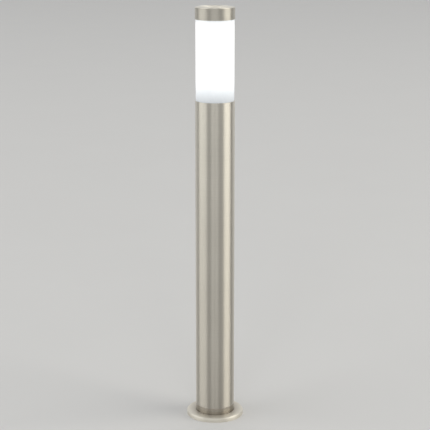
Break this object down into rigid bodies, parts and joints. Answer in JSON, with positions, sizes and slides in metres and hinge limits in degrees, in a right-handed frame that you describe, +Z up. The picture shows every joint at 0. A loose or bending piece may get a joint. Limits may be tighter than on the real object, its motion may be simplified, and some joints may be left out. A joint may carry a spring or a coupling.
{
  "type": "bollard light",
  "caption": "Slim stainless steel bollard light with an opal lit head, a flat steel cap and a round foot rosette.",
  "frame": {"origin": "on the ground, on the post's axis, under the middle of the foot plate", "axes": "+Z up along the post, -Y the front, +X to the right when seen from the front"},
  "size_m": [0.11, 0.11, 0.8],
  "materials": {
    "brushed_stainless": "brushed round the axis",
    "plain_steel": "mill finish",
    "zinc_steel": "bright zinc plate",
    "opal_diffuser": "opal acrylic, lit from inside",
    "black_plastic": "moulded, satin",
    "grey_plastic": "moulded, matt",
    "natural_plastic": "natural polyamide",
    "lamp_plastic": "white, semi-gloss",
    "lamp_opal": "opal, lit from inside",
    "seal_rubber": "matt",
    "porcelain": "glazed",
    "brass": "bright",
    "nickel_shell": "nickel plated",
    "glass_insulator": "black vitrite",
    "solder": "dull solder",
    "circuit_board": "solder resist",
    "led_board_white": "white solder resist",
    "led_phosphor": "phosphor",
    "driver_components": "moulded",
    "wire_brown": "satin",
    "wire_blue": "satin",
    "wire_green_yellow": "satin"
  },
  "bodies": {
    "post": {"foot_plate": "plain_steel", "foot_weld": "plain_steel", "cable_grommet": "seal_rubber", "post_tube": "brushed_stainless", "support_ring": "plain_steel", "carrier_gasket": "seal_rubber", "lamp_carrier": "black_plastic", "carrier_screws": "zinc_steel", "holder_body": "porcelain", "holder_shell": "nickel_shell", "holder_terminals": "brass", "holder_terminal_screws": "brass", "holder_centre_contact": "brass", "holder_side_contact": "brass", "holder_screws": "zinc_steel", "holder_nuts": "zinc_steel", "gear_bracket": "zinc_steel", "terminal_block": "natural_plastic", "terminal_clamps": "brass", "terminal_screws": "zinc_steel", "block_screws": "zinc_steel", "block_nuts": "zinc_steel", "wire_live": "wire_brown", "wire_neutral": "wire_blue", "wire_earth": "wire_green_yellow", "earth_lug": "solder", "earth_screw": "zinc_steel", "earth_washer": "zinc_steel", "earth_nut": "zinc_steel"},
    "rosette": {"rosette": "brushed_stainless"},
    "head_seal": {"head_seal": "seal_rubber"},
    "head": {"diffuser": "opal_diffuser", "head_collar": "grey_plastic", "cap": "brushed_stainless", "cap_liner": "grey_plastic", "cap_seal": "seal_rubber", "cap_stud": "plain_steel", "cap_washer": "zinc_steel", "cap_nut": "zinc_steel"},
    "lamp_contact": {"lamp_contact": "solder"},
    "lamp": {"lamp_insulator": "glass_insulator", "lamp_shell": "nickel_shell", "lamp_base": "lamp_plastic", "lamp_driver_board": "circuit_board", "lamp_driver_parts": "driver_components", "lamp_led_board": "led_board_white", "lamp_leds": "led_phosphor", "lamp_envelope": "lamp_opal"}
  },
  "joints": [
    {"name": "rosette_lift", "type": "slide", "parent": "post", "child": "rosette", "axis": [0, 0, 1], "range_m": [0, 0.6]},
    {"name": "head_lift", "type": "slide", "parent": "post", "child": "head_seal", "axis": [0, 0, 1], "range_m": [0, 0.16]},
    {"name": "head_turn", "type": "hinge", "parent": "head_seal", "child": "head", "pos_m": [0, 0, 0.592], "axis": [0, 0, 1], "range_deg": [-25, 0]},
    {"name": "lamp_rise", "type": "slide", "parent": "post", "child": "lamp_contact", "axis": [0, 0, 1], "range_m": [0, 0.01819]},
    {"name": "lamp_turn", "type": "hinge", "parent": "lamp_contact", "child": "lamp", "pos_m": [0, 0, 0.606], "axis": [0, 0, 1], "range_deg": [0, 1800]}
  ],
  "couplings": [
    {"joint": "lamp_rise", "follows": "lamp_turn", "m_per_rad": 0.0005775}
  ]
}
